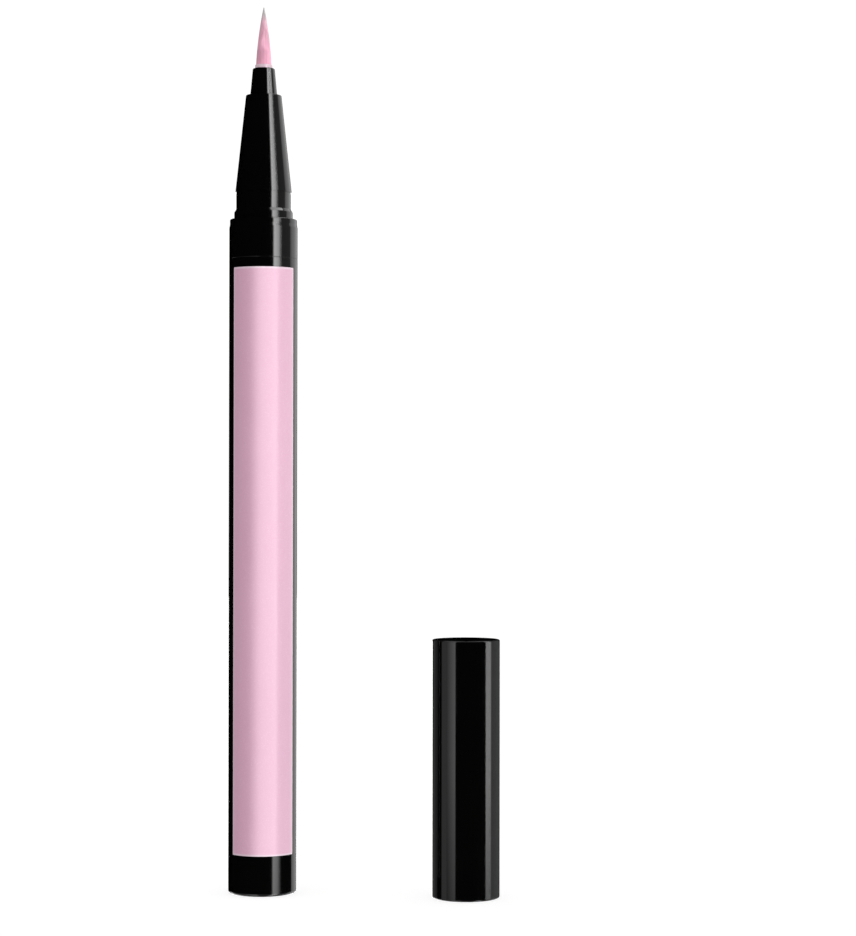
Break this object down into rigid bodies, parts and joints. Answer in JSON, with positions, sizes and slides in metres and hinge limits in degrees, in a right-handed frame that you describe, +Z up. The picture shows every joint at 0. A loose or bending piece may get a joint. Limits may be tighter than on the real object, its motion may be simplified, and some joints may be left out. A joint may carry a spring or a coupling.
{
  "type": "liquid eyeliner pen",
  "caption": "Slim round liquid eyeliner pen standing uncapped on its tail, with a curved colour panel, stepped nose and fibre brush nib; its cap stands beside it.",
  "frame": {"origin": "centre of the pen's flat tail face", "axes": "+Z up the pen's axis from the tail to the nib, -Y the way the colour panel faces, +X towards the side where the cap stands"},
  "size_m": [0.0393, 0.0161, 0.1298],
  "materials": {
    "black_gloss": "high gloss",
    "colour_lacquer": "glossy pink lacquer",
    "nib_fibre": "damp fibre, paler at the point",
    "sleeve_plastic": "satin",
    "natural_plastic": "as moulded",
    "clear_tank": "translucent",
    "wick_fibre": "bonded fibre",
    "ball_steel": "polished",
    "spring_steel": "drawn wire"
  },
  "bodies": {
    "pen": {"barrel": "black_gloss", "colour_panel": "colour_lacquer", "tail_plug": "black_gloss", "ink_tank": "clear_tank", "tank_stopper": "natural_plastic", "collector": "natural_plastic", "relay_wick": "wick_fibre", "nose_section": "black_gloss", "nib_holder": "black_gloss", "nib_sleeve": "sleeve_plastic", "nib": "nib_fibre"},
    "mixing_ball": {"mixing_ball": "ball_steel"},
    "cap": {"cap_shell": "black_gloss", "cap_liner": "natural_plastic", "inner_cap_spring": "spring_steel"},
    "inner_cap": {"inner_cap": "natural_plastic"}
  },
  "joints": [
    {"name": "cap_carry", "type": "slide", "parent": "pen", "child": "cap", "axis": [-0.1806, 0.0381, 0.9828], "range_m": [0, 0.1628]},
    {"name": "inner_cap_press", "type": "slide", "parent": "cap", "child": "inner_cap", "axis": [0, 0, 1], "range_m": [0, 0.0015], "stiffness_N_per_m": 350, "springref_m": -0.003, "deforming": ["inner_cap_spring"]},
    {"name": "mixing_ball_slide", "type": "slide", "parent": "pen", "child": "mixing_ball", "axis": [0, 0, 1], "range_m": [0, 0.0438]}
  ]
}
